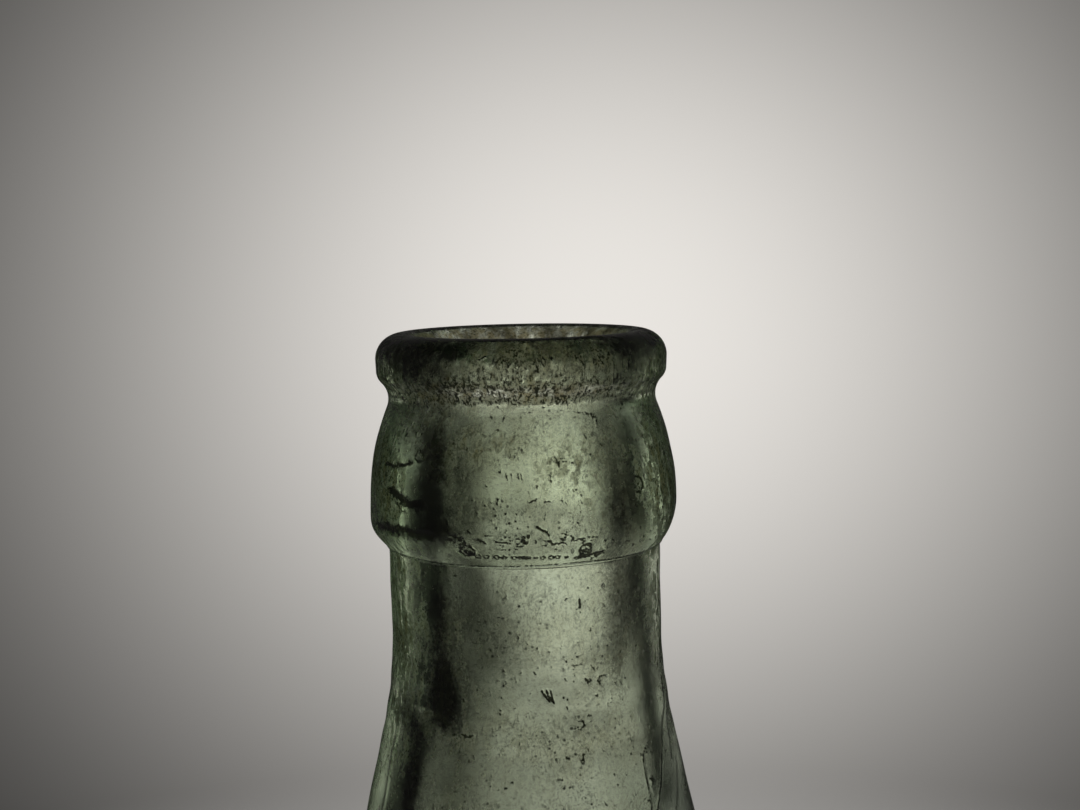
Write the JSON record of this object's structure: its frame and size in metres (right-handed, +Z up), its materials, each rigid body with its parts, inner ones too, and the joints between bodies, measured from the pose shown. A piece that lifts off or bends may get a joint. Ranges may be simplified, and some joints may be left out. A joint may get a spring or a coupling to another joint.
{
  "type": "glass bottle",
  "caption": "Pale green glass soda bottle with a tooled crown finish, a swollen collar, a long sloping shoulder, a straight wall and a pushed-up base, worn and full of seed bubbles.",
  "frame": {"origin": "centre of the foot, on the surface that the bottle stands on", "axes": "+Z up along the bottle's axis, out of its mouth; -Y towards the viewer; the bottle is round, so X and Y are alike"},
  "size_m": [0.057, 0.057, 0.195],
  "materials": {
    "green_glass": "old pressed glass, scuffed, with seed bubbles and grime in its pits"
  },
  "bodies": {
    "root": {"crown_finish": "green_glass", "neck_and_shoulder": "green_glass", "body_wall": "green_glass", "push_up_base": "green_glass"}
  },
  "joints": []
}
